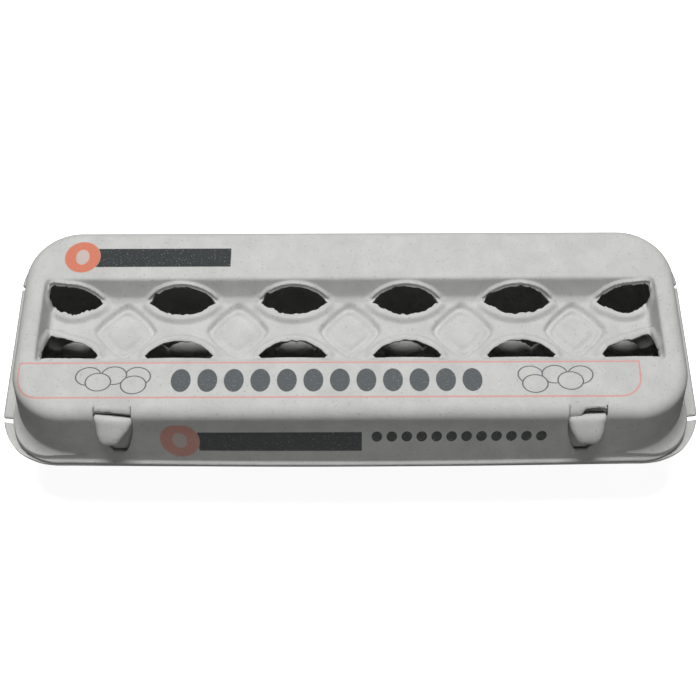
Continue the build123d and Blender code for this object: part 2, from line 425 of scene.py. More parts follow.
def printTop(finish, shade):
    x, y = finish.x, finish.y
    onTop = finish.z.over(topZ - topPrint["below"], 0.5)
    # back band: a plain disc with a bare egg in it, and a plain bar
    discX, discY, radius = topPrint["disc"]
    disc = ovalSize(x, y, discX, discY, radius, radius).under(1.0, 0.05)
    egg = ovalSize(x, y, discX, discY, *topPrint["discEgg"]).under(1.0, 0.1)
    bar = boxMask(x, y, *topPrint["bar"]) * (1 - disc)
    shade = finish.mix(worn(finish, bar * onTop, 0.35), shade, printLook["bar"])
    shade = finish.mix(worn(finish, disc * (1 - egg * 0.75) * onTop, 0.4) * 0.92, shade, printLook["disc"])
    # front band: a thin frame round a row of twelve plain eggs and two clusters of egg outlines
    shade = finish.mix(worn(finish, frameMask(x, y) * onTop, 0.5) * 0.9, shade, printLook["line"])
    ink = eggRowMask(x, y, topPrint["eggRow"], topPrint["eggHalf"])
    for centre in topPrint["clusters"]:
        ink = ink.higher(clusterMask(x, y, centre))
    return finish.mix(worn(finish, ink * onTop, 0.35), shade, printLook["grey"])


def printWall(finish, shade):
    # front wall: a disc, a bar and a row of eggs again, fainter
    x, z = finish.x, finish.z
    onWall = finish.y.under(wallPrint["front"], 0.5) * z.under(topZ - topPrint["below"], 0.5)
    discX, discZ, halfX, halfZ = wallPrint["disc"]
    disc = ovalSize(x, z, discX, discZ, halfX, halfZ).under(1.0, 0.08)
    egg = ovalSize(x, z, discX, discZ, *wallPrint["discEgg"]).under(1.0, 0.1)
    bar = boxMask(x, z, *wallPrint["bar"]) * (1 - disc)
    eggs = eggRowMask(x, z, wallPrint["eggRow"], wallPrint["eggHalf"])
    shade = finish.mix(worn(finish, bar.higher(eggs) * onWall, 0.5) * 0.9, shade, printLook["bar"])
    return finish.mix(worn(finish, disc * (1 - egg * 0.7) * onWall, 0.9) * 0.62, shade, printLook["disc"])


def printLid(finish, shade):
    return printWall(finish, printTop(finish, shade))


printedPulp = finishPulp("printed_pulp", 0.6, printLid)
plainPulp = finishPulp("moulded_pulp", 0.8)
roughPulp = finishPulp("tray_pulp", 1.3)
# the lid's inside: the same pulp darkened by painted shade so that the windows look dark; the real pulp is no
# darker inside
innerPulpPaintedShade = finishPulp("inner_pulp_painted_shade", 1.3, darker=0.45)
print("finishes made")


# the lid's trough, with its windows and pads

trough = {
    "floorHalfX": 128.4, "halfX": 131.3,  # foot and top edge of the end walls
    "floorHalfY": 13.2, "halfY": 19.6,
    "footX": (1.3, 1.1), "footY": (2.3, 1.7),  # run and rise of the gentler foot of each wall
    "depth": 11.0,
    "edgeRound": 1.0,
    "cutX": 133.8, "cutY": 22.5,  # where the trough's grid meets the shell's
    "rowsOut": 22, "rowsIn": 18,
    "powerOut": 1.12, "powerIn": 0.93,  # rows lie closer together towards the eyes
}
window = {
    "half": 14.6,  # half length of an eye
    "slit": 13.4,  # level of its two corners
    "rise": 9.0,  # opening up the wall, and towards the middle of the back and front rows
    "reachBack": 6.5, "reachFront": 7.85,
    "step": 0.8, "stepBetween": 1.13, "stepAtSlot": 0.95,  # columns, along the eyes and between them
    # torn edges: step and spread of the random heights, and how much of them each edge shows
    "tearFine": (0.8, 0.42), "tearCoarse": (2.6, 0.22), "tear": 0.8, "tearFront": 0.3,
    "nicked": (1, 2, 4),  # eyes of the back row with pulp torn away at their left corners
    "nickAt": 2.6, "nick": 1.5, "nickHalf": 1.3,
    # the end windows: places along the trough and up its end wall, and how far they open there
    "endAt": (107.2, 108.2, 110, 112, 114.5, 117, 119.5, 122, 125, 127.3, 129, 131.5, 133.5, 134.6),
    "endRise": (0, 1.6, 3.9, 5.8, 7.6, 8.6, 9.1, 9.2, 9.8, 9.9, 9.2, 6.4, 3.2, 0),
    "endBack": (0, 1.5, 3.0, 3.7, 4.8, 5.9, 6.1, 5.8, 4.6, 3.3, 2.4, 1.2, 0.4, 0),
    "endFront": (0, 2.0, 4.2, 5.4, 6.5, 7.3, 8.0, 8.8, 9.8, 10.6, 10.7, 7.4, 3.8, 0),
}
lips = {
    # beyond the slit: a roll on the edge, a bead round it, and its foot
    "roll": 0.55, "rollHalf": 0.6,
    "bead": 1.05, "beadAt": 1.9, "beadHalf": 0.6,
    "foot": 0.35, "footFrom": 1.0, "footTo": 3.2,
    # inside it: one broad lip, thinner at its edge
    "broad": 2.1, "broadFrom": 1.8, "broadTo": 4.3,
    "thin": 0.35, "thinHalf": 0.5,
    "changeFrom": -2.0, "changeTo": 3.0,  # the two kinds blend between these distances from the slit
    "endFrom": 126.0, "endTo": 131.0, "endLoss": 0.55,  # lower on the end walls
}
pad = {
    "halfX": 11.4, "halfY": 11.2, "power": 1.2, "sink": 2.9, "bead": 1.3, "pillow": 1.1,
    "soft": 0.8,  # rounds the diamond's corners
    # where each band lies, as a share of the diamond's size
    "sinkFrom": 1.05, "sinkTo": 1.27, "beadAt": 0.96, "beadHalf": 0.07, "pillowFrom": 0.60, "pillowTo": 0.84,
}
beyond = 40.0  # paths run on level this far past their ends


def trail(floorHalf, half, foot):
    # straight lines with softened corners: from the middle over the floor, up a wall, on to the band
    # gives the place and how sunk it is, for a way along the path, and the way to the wall's top
    run, rise = foot
    bend = floorHalf + math.hypot(run, rise)
    top = bend + math.hypot(half - floorHalf - run, trough["depth"] - rise)
    knots = [-beyond, 0, floorHalf, bend, top, top + beyond]
    places = [-beyond, 0, floorHalf, floorHalf + run, half, half + beyond]
    sunk = [1, 1, 1, 1 - rise / trough["depth"], 0, 0]
    return roundedLine(knots, places, trough["edgeRound"]), roundedLine(knots, sunk, trough["edgeRound"]), top


placeX, sunkX, topU = trail(trough["floorHalfX"], trough["halfX"], trough["footX"])
placeY, sunkY, topS = trail(trough["floorHalfY"], trough["halfY"], trough["footY"])
cutU = topU + trough["cutX"] - trough["halfX"]
cutS = topS + trough["cutY"] - trough["halfY"]


def troughColumns():  # close together along each eye, wider between
    marks = [-cutU]
    for x in cellXs:
        end = abs(x) > 2 * pitch
        inner, outer = abs(x) - window["half"], abs(x) + window["half"]
        if end:
            inner, outer = window["endAt"][0], window["endAt"][-1]
        low, high = sorted([math.copysign(inner, x), math.copysign(outer, x)])
        marks += [low, high]
    marks.append(cutU)
    parts = [np.array([-cutU])]
    for n, (low, high) in enumerate(zip(marks, marks[1:])):
        atSlot = abs(abs(low + high) / 2 - 2 * pitch) < 4
        step = window["step" if n % 2 else "stepAtSlot" if atSlot else "stepBetween"]
        parts.append(np.linspace(low, high, int(round((high - low) / step)) + 1)[1:])
    return np.concatenate(parts)


columnU = troughColumns()
columnX = np.sign(columnU) * placeX(np.abs(columnU))


def eyeEdge(side, kind, seed, torn=True):
    # how far the eyes open at each column: a circle's arc for a middle eye, straight lines between set
    # places for an end one, and ragged heights added to both
    half, opening = window["half"], np.zeros_like(columnU)
    height = window["rise"] if kind == "rise" else window["reachBack" if side > 0 else "reachFront"]
    ends = window["endRise"] if kind == "rise" else window["endBack" if side > 0 else "endFront"]
    radius = (half * half + height * height) / (2 * height)
    share = window["tearFront" if side < 0 and kind == "reach" else "tear"]
    span = 60  # longer than an eye
    for n, centre in enumerate(cellXs):
        away = columnU - centre
        if abs(centre) > 2 * pitch:
            arc = np.interp(columnU * np.sign(centre), window["endAt"], ends, left=0, right=0)
        else:
            arc = np.sqrt(np.clip(radius ** 2 - away ** 2, 0, None)) - (radius - height)
            arc = np.where(np.abs(away) < half, np.clip(arc, 0, None), 0)
        fine = ragged(span, *window["tearFine"], seed + n)(away)
        coarse = ragged(span, *window["tearCoarse"], seed + n + 50)(away)
        tear = (fine + coarse) * torn * share
        if torn and side > 0 and kind == "rise" and n in window["nicked"]:
            tear = tear + window["nick"] * bump(away, -half + window["nickAt"], window["nickHalf"])
        opening += np.where(arc > 0, np.clip(arc + tear * np.clip(arc / 1.5, 0, 1), 0, None), 0)
    return opening


def troughSurface(u, s):
    # a floor with walls round it: u runs along the trough and up its ends, s across it and up its sides
    sunk = sunkY(s) * sunkX(np.abs(u))
    return np.stack([np.sign(u) * placeX(np.abs(u)), placeY(s), topZ - trough["depth"] * sunk], -1)


def eyeLift(u, s, outS, inS):
    # how far the lips round the eyes stand off the trough: bell curves and S curves of the distance to the
    # nearest point of an edge
    distance = np.full(u.shape, 99.0)
    for centre in cellXs:
        near = np.abs(u - centre) < window["half"] + 8
        inside = (np.abs(columnU - centre) <= window["half"] + 4) & (outS - inS > 0.05)
        edgeU = np.concatenate([columnU[inside], columnU[inside]])
        edgeS = np.concatenate([outS[inside], inS[inside]])
        du, ds = u[near][:, None] - edgeU, s[near][:, None] - edgeS
        distance[near] = np.minimum(distance[near], np.sqrt(du * du + ds * ds).min(1))
    outer = lips["roll"] * bump(distance, 0, lips["rollHalf"])
    outer += lips["bead"] * bump(distance, lips["beadAt"], lips["beadHalf"])
    outer += lips["foot"] * (1 - smoothStep(lips["footFrom"], lips["footTo"], distance))
    inner = lips["broad"] * (1 - smoothStep(lips["broadFrom"], lips["broadTo"], distance))
    inner -= lips["thin"] * bump(distance, 0, lips["thinHalf"])
    share = smoothStep(lips["changeFrom"], lips["changeTo"], s - window["slit"])
    lift = outer * share + inner * (1 - share)
    return lift * (1 - lips["endLoss"] * smoothStep(lips["endFrom"], lips["endTo"], np.abs(u)))


def padHeight(x, y):
    # a round-cornered diamond: an outline bead, a groove inside it, and a low pillow, all sunk a little
    # q is the distance from its middle, the two directions' shares added by powers; 1 on the outline
    total = np.zeros_like(x)
    for centre in postXs:
        a = np.sqrt((x - centre) ** 2 + pad["soft"]) / pad["halfX"]
        b = np.sqrt(y ** 2 + pad["soft"]) / pad["halfY"]
        q = (a ** pad["power"] + b ** pad["power"] + 1e-9) ** (1 / pad["power"])
        sink = -pad["sink"] * (1 - smoothStep(pad["sinkFrom"], pad["sinkTo"], q))
        bead = pad["bead"] * bump(q, pad["beadAt"], pad["beadHalf"])
        pillow = pad["pillow"] * (1 - smoothStep(pad["pillowFrom"], pad["pillowTo"], q))
        total += sink + bead + pillow
    return total


def rowShares(part):  # even steps from 0 to 1 raised to a power, which crowds them at one end
    return np.linspace(0, 1, trough["rows" + part] + 1) ** trough["power" + part]


def troughGrids():
    # rows from each side's eyes out to the band, and from the middle in to them; every point is moved off
    # the trough's surface along the normal by the lips' height, and then up by the pads' height
    grids = []
    for side in (1, -1):
        outS = window["slit"] + eyeEdge(side, "rise", 100 * (2 + side))
        inS = window["slit"] - eyeEdge(side, "reach", 100 * (5 + side))
        lipOut = window["slit"] + eyeEdge(side, "rise", 0, False)
        lipIn = window["slit"] - eyeEdge(side, "reach", 0, False)
        for part, fromS, toS in (("Out", outS, cutS), ("In", 0, inS)):
            s = fromS + (toS - fromS) * rowShares(part)[:, None]
            u = np.broadcast_to(columnU, s.shape)
            small = 0.02
            alongU = troughSurface(u + small, s) - troughSurface(u - small, s)
            alongS = troughSurface(u, s + small) - troughSurface(u, s - small)
            normal = np.cross(alongU, alongS)
            normal /= np.linalg.norm(normal, axis=-1, keepdims=True) + 1e-12
            points = troughSurface(u, s)
            fade = smoothStep(0.0, 1.5, cutU - np.abs(u)) * smoothStep(0.0, 0.8, cutS - s)
            points += normal * (eyeLift(u, s, lipOut, lipIn) * fade)[..., None]
            points[..., 2] += padHeight(points[..., 0], points[..., 1]) * fade
            points[..., 1] *= side
            grids.append((points, side < 0, False, None))
    return grids


# the lid's shell: lip, walls, shoulders, bands and latch slots

shell = {
    "footX": 144.5, "footY": 52.4, "footCorner": 29.0,
    "topX": 140.0, "topY": 43.7, "topCorner": 22.0,
    "shoulder": 6.0,
    "shoulderY": 39.2,  # middle of the front shoulder's arc
    "lipX": shellHigh[0], "lipFront": -shellLow[1], "lipBack": shellHigh[1], "lipCorner": 22.0,
    "lipRows": 3, "lipDrop": 0.3, "lipDroop": 0.4,
    # under each corner is a squarer foot, which leaves a crescent ledge: heights over the lip, and corners
    "skirtCorner": 16.5,
    "skirt": ((0.2, 16.5), (1.0, 16.5), (1.75, 16.6), (2.1, 17.6), (2.3, 28.0)),
    # the front's foot swells out towards its middle, up to this height over the rim
    "bow": 1.6, "bowRise": 22.0,
    # columns stand upright as far as the first, and go round the corners beyond the second
    "upright": 108.0, "straight": 118.0,
    "wallTop": 57.5, "wallRows": 6, "wallLast": 60.5,
    "shoulderFrom": 8.6, "shoulderRows": 11,  # first angle round the shoulder
}
slot = {
    "x": (-2 * pitch, 2 * pitch),
    "half": 7.8, "footZ": 44.4,
    # heights, and half the slot's width there
    "levels": (36, 40, 42.5, 44.4, 46.5, 50.8, 54.0, 58.0, 62.0, 80.0),
    "halves": (7.8, 6.0, 3.4, 2.6, 3.9, 5.4, 6.6, 7.5, 7.8, 7.8),
    "give": 12.0, "reach": 24.0,  # columns beside a slot give way over the first, and only within the second
    "top": 46.0,  # angle round the shoulder where the tongue's narrow side cuts begin
    "crease": 79.2,  # angles round the shoulder: the tongue's crease, and its torn edge from left to right
    "tongues": (((-1, -0.2, 0.3, 1), (58, 56, 46, 38)), ((-1, -0.4, -0.2, 0.6, 1), (9, 14, 62, 70, 60))),
    "sink": 1.0, "creaseDepth": 0.45,
}


def shellColumns():
    # the columns of the trough's boundary, with the slots' sides moved on to them
    knots, targets, columns = [columnX[0]], [columnX[0]], []
    for centre in slot["x"]:
        first, end = [int(np.abs(columnX - (centre + side * slot["half"])).argmin()) for side in (-1, 1)]
        columns.append((first, end))
        knots += [columnX[first - 4], columnX[first], columnX[end], columnX[end + 4]]
        targets += [columnX[first - 4], centre - slot["half"], centre + slot["half"], columnX[end + 4]]
    return np.interp(columnX, knots + [columnX[-1]], targets + [columnX[-1]]), columns


longX, slotColumns = shellColumns()
shortS = window["slit"] + (cutS - window["slit"]) * rowShares("Out")[1:]
shortS = np.concatenate([window["slit"] * rowShares("In"), shortS])
shortY = np.concatenate([-placeY(shortS)[::-1], placeY(shortS)[1:]])


def loopOf(front, right, back, left):  # four sides as one line, once round, each corner taken once
    return np.concatenate([front, right[1:-1], back[::-1], left[-2:0:-1]])


def loopPoints(halfX, front, back, corner, z):
    # a rectangle with quarter circles for corners, once round, its front swollen by a parabola
    reach = np.clip((np.abs(columnU) - shell["straight"]) / (cutU - shell["straight"]), 0, 1)
    knots = [0, shell["upright"], shell["straight"]]
    straight = np.interp(np.abs(longX), knots, [0, shell["upright"], halfX - corner])
    x = np.sign(longX) * (straight + corner * np.sin(reach * math.pi / 2))
    drop = corner * (1 - np.cos(reach * math.pi / 2))
    share = (shortY - shortY[0]) / (shortY[-1] - shortY[0])
    endY = (corner - front) + share * (front + back - 2 * corner)
    fade = 1 - smoothStep(rimZ, rimZ + shell["bowRise"], z)
    swell = shell["bow"] * np.clip(1 - (x / shell["straight"]) ** 2, 0, 1) * fade
    sides = [np.stack([x, drop - front - swell], -1), np.stack([np.full_like(endY, halfX), endY], -1),
             np.stack([x, back - drop], -1), np.stack([np.full_like(endY, -halfX), endY], -1)]
    plan = loopOf(*sides)
    return np.column_stack([plan, np.full(len(plan), z)])


def rectanglePoints():
    # the rectangle in the top where the shell meets the trough, once round
    cutY, cutX = placeY(cutS), placeX(cutU)
    long, short = np.full_like(columnX, cutY), np.full_like(shortY, cutX)
    sides = [(columnX, -long), (short, shortY), (columnX, long), (-short, shortY)]
    plan = loopOf(*[np.stack(side, -1) for side in sides])
    return np.column_stack([plan, np.full(len(plan), topZ)])


def wallAt(z):
    # half sizes and corner of the shell at a height: a leaning wall, then the shoulder's arc
    radius, height = shell["shoulder"], topZ - lidFootZ
    share = (z - lidFootZ) / height
    out = []
    for foot, top in ((shell["footX"], shell["topX"]), (shell["footY"], shell["topY"])):
        lean = math.atan((foot - top) / height)
        centre = top - radius * math.tan((math.pi / 2 - lean) / 2)
        line = foot + (top - foot) * share
        arc = centre + math.sqrt(max(radius ** 2 - max(z - topZ + radius, 0) ** 2, 0))
        out.append(arc if z > topZ - radius + radius * math.sin(lean) else line)
    corner = shell["footCorner"] + (shell["topCorner"] - shell["footCorner"]) * share
    inset = shell["footX"] + (shell["topX"] - shell["footX"]) * share - out[0]
    return out[0], out[1], corner - inset


def shellLoops():
    # rounded rectangles from the lip's edge up the wall and round the shoulder, then in to the trough's edge
    lipZ, loops = lidFootZ + pulp, []
    halfX, halfY, _ = wallAt(lipZ)
    ends = ((shell["lipX"], halfX + 0.2), (shell["lipFront"] - 0.6, halfY + 0.1), (shell["lipBack"], halfY),
            (shell["lipCorner"], shell["skirtCorner"]))
    for t in np.linspace(0, 1, shell["lipRows"]):  # the lip, drooping a little at its edge
        sizes = [a + (b - a) * t for a, b in ends]
        loops.append(loopPoints(*sizes, lipZ - shell["lipDrop"] - shell["lipDroop"] * (1 - t) ** 2))
    for up, corner in shell["skirt"]:
        halfX, halfY, _ = wallAt(lipZ + up)
        loops.append(loopPoints(halfX, halfY, halfY, corner, lipZ + up))
    angles = np.linspace(shell["shoulderFrom"], 90, shell["shoulderRows"])
    shoulder = topZ - shell["shoulder"] * (1 - np.sin(np.radians(angles)))
    wall = np.linspace(slot["footZ"], shell["wallTop"], shell["wallRows"])
    levels = np.concatenate([wall, [shell["wallLast"]], shoulder])
    rowOfFoot = len(loops)
    rowOfShoulder = len(loops) + len(levels) - len(shoulder)
    for z in levels:
        halfX, halfY, corner = wallAt(z)
        loops.append(loopPoints(halfX, halfY, halfY, corner, z))
    last, inner = loops[-1], rectanglePoints()
    for t in (0.5, 1):
        loops.append(last + (inner - last) * t)
    rows = [rowOfShoulder + int(np.abs(angles - slot[key]).argmin()) for key in ("top", "crease")]
    return np.array(loops), rowOfFoot, *rows


def shellGrid():
    # the loops, with each slot's columns drawn in to its outline and the tongue over the button reshaped
    points, rowOfFoot, rowOfTop, rowOfCrease = shellLoops()
    mask = np.ones((len(points) - 1, points.shape[1]), bool)
    for n, (first, end) in enumerate(slotColumns):
        centre, count = slot["x"][n], end - first
        mask[rowOfFoot:rowOfTop, first:end] = False
        mask[rowOfTop:rowOfCrease, [first, end - 1]] = False  # narrow cuts beside the tongue
        # the slot's sides follow its outline, by straight lines between its levels
        half = np.interp(points[:, first, 2], slot["levels"], slot["halves"])[:, None]
        away = points[..., 0] - centre
        near = (points[..., 1] < -30) & (np.abs(away) < slot["reach"])
        edges = [-1, -1 + 2 / count, 1 - 2 / count, 1]
        inside = np.interp(away / slot["half"], edges, [-1, -0.95, 0.95, 1]) * half
        fade = 1 - smoothStep(0, slot["give"], np.abs(away) - slot["half"])
        beside = away + np.sign(away) * (half - slot["half"]) * fade
        moved = centre + np.where(np.abs(away) < slot["half"] + 0.01, inside, beside)
        points[..., 0] = np.where(near, moved, points[..., 0])
        # the tongue hangs from its crease, in an arc of a shrinking radius, and ends in a torn edge
        rows, columns = slice(rowOfTop, rowOfCrease + 1), slice(first + 1, end)
        across = (points[rowOfTop, columns, 0] - centre) / slot["half"]
        torn = np.interp(across, *slot["tongues"][n]) + ragged(4, 0.12, 2.2, 70 + n)(across)
        level = np.linspace(0, 1, rowOfCrease - rowOfTop + 1)[:, None]
        angle = np.radians(torn + (slot["crease"] - torn) * level)
        radius = shell["shoulder"] - slot["sink"] * (1 - level) ** 0.7
        points[rows, columns, 1] = -shell["shoulderY"] - radius * np.cos(angle)
        points[rows, columns, 2] = topZ - shell["shoulder"] + radius * np.sin(angle)
        points[rowOfCrease, columns, 2] -= slot["creaseDepth"]
    return points, False, True, mask


makePiece("lid_moulding", troughGrids() + [shellGrid()], printedPulp, pulp, "lid",
          ["lid_shell", "window_trough"], innerPulpPaintedShade)


# the tray: twelve cups, five posts and the flange in one moulding

tray = {
    "front": -rimLow[1], "back": rimHigh[1], "halfX": rimHigh[0],
    "frontCorner": 27.0, "backCorner": 20.0,
    # half size at the cups' floor, and what the inner and outer walls add
    "cupFloor": 12.25, "reachInner": 15.1, "reachOuter": 11.0,
    "cupPower": 2.35,
    "rowY": 24.5,
    "postTop": boxOf("divider_post_1")[1][2], "postFlat": 7.0, "postSlope": 3.9,
    "postReach": 24.0,  # from a post's middle
    "notches": (-33.0, 32.5), "notchHalf": 1.1, "notchDepth": 4.4,
    # the front edge is tucked in, least in its middle, so that the lid's lip hides it
    "tuck": 1.2, "tuckFrom": -46.0, "bow": 0.9, "bowHalf": 118.0,
    "floorRise": 0.35, "floorRound": 5.0,
    # ribs at the cups' corners: how deep, and the heights over which they come and go
    "rib": 0.5, "ribUp": (4, 20), "ribDown": (24, 34),
    # a ridge between the front and back cups, and a flat oval on it in each cell
    "ridge": 32.4, "ridgeRise": 5.0, "ridgeHalf": 7.7, "ridgeTop": 47.0, "ridgeSlope": 2.6,
    "land": 39.6, "landHalfX": 7.6, "landHalfY": 4.0, "landSlope": 20.0,
    "edgeDroop": 0.35, "edgeRound": 2.5,
    "uneven": 0.12,
    "step": 1.05,
}


def cupHeight(x, y):
    # the moulding's upper face: cup walls by a rounded-square distance from each cup's middle
    column = np.clip(np.round((x - cellXs[0]) / pitch), 0, 5)
    dx, dy = x - (cellXs[0] + column * pitch), np.abs(y) - tray["rowY"]
    outward = ((column == 0) & (dx < 0)) | ((column == 5) & (dx > 0))
    power = tray["cupPower"]
    size = (np.abs(dx) ** power + np.abs(dy) ** power + 1e-9) ** (1 / power)
    turned = (dx ** 2 * outward + dy ** 2 * (dy > 0)) / (dx ** 2 + dy ** 2 + 1e-9)
    reach = tray["reachInner"] - (tray["reachInner"] - tray["reachOuter"]) * turned
    wall = (size - tray["cupFloor"]) / reach * rimZ
    ribs = tray["rib"] * np.cos(4 * np.arctan2(dy, dx))
    ribs = ribs * smoothStep(*tray["ribUp"], wall) * (1 - smoothStep(*tray["ribDown"], wall))
    return pulp + smoothMax(wall + ribs, tray["floorRise"], tray["floorRound"])


def trayHeight(x, y):
    # the lower of the cups' walls and the flange; then the higher of that, a flat-topped pyramid for each
    # post, a ridge with a parabola's dip and a flat-topped oval cone in each cell, all joined smoothly
    z = smoothMin(cupHeight(x, y), rimZ, 1.6)
    for centre in postXs:
        q = np.abs(x - centre) + np.abs(y)
        soft = np.sqrt((x - centre) ** 2 + y ** 2 + 0.6) * 0.12 + q * 0.9
        post = tray["postTop"] - (soft - tray["postFlat"]) * tray["postSlope"]
        z = np.where(q < tray["postReach"], smoothMax(z, smoothMin(post, tray["postTop"], 2.0), 1.6), z)
    column = np.clip(np.round((x - cellXs[0]) / pitch), 0, 5)
    away = x - (cellXs[0] + column * pitch)
    outward = ((column == 0) & (away < 0)) | ((column == 5) & (away > 0))
    crest = tray["ridge"] + tray["ridgeRise"] * (away / tray["ridgeHalf"]) ** 2
    crest = smoothMin(crest, np.where(outward, rimZ, tray["ridgeTop"]), 3.0)
    z = smoothMax(z, crest - tray["ridgeSlope"] * (np.sqrt(y ** 2 + 1.2) - 1.1), 1.2)
    oval = np.sqrt((away / tray["landHalfX"]) ** 2 + (y / tray["landHalfY"]) ** 2 + 1e-9)
    land = smoothMin(tray["land"] - tray["landSlope"] * (oval - 1), tray["land"], 1.5)
    return smoothMax(z, land, 1.2)


def trayGrid():
    # a rectangular grid, its corner blocks drawn in to quarter discs, at the height trayHeight gives
    halfX, front, back = tray["halfX"], tray["front"], tray["back"]
    cornerY = {-1: front - tray["frontCorner"], 1: back - tray["backCorner"]}
    x = np.linspace(-halfX, halfX, int(2 * halfX / tray["step"]) + 1)
    y = np.linspace(-front, back, int((front + back) / tray["step"]) + 1)
    notchRows = []
    for side, level in zip((-1, 1), tray["notches"]):  # rows that map on to each notch's sides
        corner = tray["frontCorner"] if side < 0 else tray["backCorner"]
        centre = cornerY[side]
        for edge in (-tray["notchHalf"], tray["notchHalf"]):
            away = abs(level + edge) - centre
            raw = level + edge if away < 0 else side * (centre + away * math.sqrt(2))
            row = int(np.abs(y - raw).argmin())
            y[row] = raw
            notchRows.append(row)
    gx, gy = np.meshgrid(x, y)
    px, py = gx.copy(), gy.copy()
    for side in (-1, 1):  # corners: each square block becomes a quarter disc
        corner = tray["frontCorner"] if side < 0 else tray["backCorner"]
        a = np.clip(np.abs(gx) - (halfX - corner), 0, corner)
        b = np.clip(side * gy - cornerY[side], 0, corner)
        inBlock = (a > 0) & (b > 0)
        drawnX = halfX - corner + a * np.sqrt(1 - b ** 2 / (2 * corner ** 2))
        drawnY = cornerY[side] + b * np.sqrt(1 - a ** 2 / (2 * corner ** 2))
        px = np.where(inBlock, np.sign(gx) * drawnX, px)
        py = np.where(inBlock, side * drawnY, py)
    bow = tray["bow"] * np.clip(1 - (px / tray["bowHalf"]) ** 2, 0, 1)
    py += (tray["tuck"] - bow) * smoothStep(tray["tuckFrom"], -front, py)
    pz = trayHeight(px, py)
    rimAway = np.minimum(np.minimum(px + halfX, halfX - px), np.minimum(py + front, back - py))
    pz -= tray["edgeDroop"] * (1 - smoothStep(0, tray["edgeRound"], rimAway)) * (pz > rimZ - 1)
    mask = np.ones((len(y) - 1, len(x) - 1), bool)
    middle = np.abs((x[:-1] + x[1:]) / 2) > halfX - tray["notchDepth"]
    for low, high in (sorted(notchRows[:2]), sorted(notchRows[2:])):
        mask[low:high, middle] = False
    return wobble(np.stack([px, py, pz], -1), tray["uneven"]), False, False, mask


trayNodes = [n for n in frame["nodes"] if n.startswith(("egg_cup", "divider_post"))] + ["tray_rim"]
makePiece("tray_moulding", [trayGrid()], roughPulp, pulp, "tray", trayNodes)


# the locking flap and its two buttons

flapLean = math.radians(19.0)
flap = {
    "half": 112.0, "root": 1.35, "length": 25.0, "corner": 9.0,
    "trim": 0.4, "raggedStep": 5.0, "ragged": 0.25,  # its top edge
    "wave": 0.35, "waveLength": 19.0,
    "columns": 225, "rows": 25,
}


def flapPoint(x, up, out):
    # a place on the flap: along the carton, up from the crease, and out towards the lid's wall
    y = flapAt[1] + up * math.sin(flapLean) - out * math.cos(flapLean)
    z = flapAt[2] + up * math.cos(flapLean) + out * math.sin(flapLean)
    return np.stack([x, y, z], -1)


def flapGrid():
    # a plate with two quarter circles for corners and a ragged top edge, waved by a sine along the carton
    x = np.linspace(-flap["half"], flap["half"], flap["columns"])
    t = np.linspace(0, 1, flap["rows"])[:, None]
    away = np.clip(np.abs(x) - (flap["half"] - flap["corner"]), 0, flap["corner"])
    top = flap["length"] - flap["corner"] + np.sqrt(flap["corner"] ** 2 - away ** 2)
    uneven = ragged(2 * flap["half"], flap["raggedStep"], flap["ragged"], 31)(x)
    top = top + uneven * (away == 0) - flap["trim"]
    up = flap["root"] + (top - flap["root"]) * t
    gx = np.broadcast_to(x, up.shape)
    out = pulp / 2 + flap["wave"] * np.sin(gx / flap["waveLength"]) * t
    return flapPoint(gx, up, out), False, False, None


makePiece("locking_flap_moulding", [flapGrid()], plainPulp, pulp, "flap", ["locking_flap"])

button = {
    # section from the flap under the chin, round the tip, up the face, over the crown and back: (up, out)
    "section": ((17.0, 1.0), (15.8, 4.2), (15.0, 6.6), (15.4, 7.7), (17.2, 7.5), (19.6, 6.6), (22.4, 5.1),
                (24.2, 4.1), (25.0, 3.3), (24.8, 2.3), (23.6, 1.2)),
    # places up the flap, and half the face's width there
    "levels": (14.6, 15.8, 17.4, 19.0, 21.0, 24.0, 27.0),
    "halves": (2.7, 3.2, 4.0, 4.9, 5.9, 6.8, 7.1),
    "square": 5.0,
    "soft": 1.6,  # rounding of the section's corners
    "rows": 49, "columns": 37, "crowd": 0.75,  # a power below 1 crowds the columns at the sides
    "chinFrom": 15.0, "chinTo": 24.0,  # the lean and the extra width fade out between these places
    "crownFrom": 20.0, "crownTo": 27.0,  # and the crown's slant comes in between these
    "middle": 19.9, "shrink": 0.08,  # the sides are shorter by this share
    "seat": 0.8,  # how far out the sides sink to
    "wall": 1.3,
    # slant of the crown, and how far the chin leans and widens
    "left": (0.9, -2.0, 0.4), "right": (-0.3, 1.0, 1.3),
}


def buttonGrid(centre, slant, lean, wider):
    # the section carried across the width; towards the sides it sinks to the flap along a rounded square
    section = np.array(button["section"])
    length = 40.0  # of the line that the section's corners are spread along
    spread = np.concatenate([[-length / 2], np.linspace(0, length, len(section)), [1.5 * length]])
    along = np.linspace(0, length, button["rows"])
    held = np.concatenate([section[:1], section, section[-1:]])
    up, out = [roundedLine(spread, column, button["soft"])(along) for column in held.T]
    a = np.linspace(-1, 1, button["columns"])[:, None]
    a = np.sign(a) * np.abs(a) ** button["crowd"]
    share = (1 - np.abs(a) ** button["square"]) ** (1 / button["square"])
    low = 1 - smoothStep(button["chinFrom"], button["chinTo"], up)
    half = np.interp(up, button["levels"], button["halves"]) + wider * low
    gUp = button["middle"] + (up - button["middle"]) * (1 - button["shrink"] * (1 - share))
    gUp = gUp - slant * a * smoothStep(button["crownFrom"], button["crownTo"], up)
    gOut = button["seat"] + (out - button["seat"]) * share
    return flapPoint(centre + lean * low + a * half, gUp, gOut), False, False, None


for centre, name in zip(slot["x"], ("left", "right")):
    makePiece(f"latch_button_{name}_moulding", [buttonGrid(centre, *button[name])], plainPulp,
              button["wall"], "flap", [f"latch_button_{name}"])


# creases

